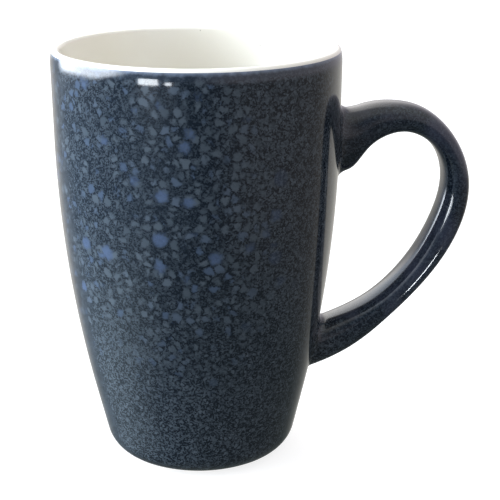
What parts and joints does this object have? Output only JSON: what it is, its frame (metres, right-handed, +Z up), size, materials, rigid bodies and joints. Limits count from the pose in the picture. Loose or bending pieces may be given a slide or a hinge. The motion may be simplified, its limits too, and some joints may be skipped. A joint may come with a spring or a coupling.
{
  "type": "ceramic mug",
  "caption": "Tall tapered ceramic mug with an ear-shaped handle, a mottled dark blue glaze outside and a cream-white glaze inside.",
  "frame": {"origin": "where the cup's axis meets the plane that its foot ring stands on", "axes": "+Z up along the cup's axis, +X from the axis towards the middle of the handle"},
  "size_m": [0.121, 0.082, 0.121],
  "materials": {
    "fired_clay": "bare fired stoneware, matt and fine-grained",
    "fired_slip": "bare fired casting slip, matt",
    "blue_glaze": "glossy dark slate-blue reactive glaze with paler blue cells",
    "white_glaze": "glossy cream-white glaze",
    "base_glaze": "glossy dark slate-blue glaze"
  },
  "bodies": {
    "root": {"cup_body": "fired_clay", "handle": "fired_clay", "upper_slip_joint": "fired_slip", "lower_slip_joint": "fired_slip", "outer_glaze": "blue_glaze", "liner_glaze": "white_glaze", "base_glaze": "base_glaze"}
  },
  "joints": []
}
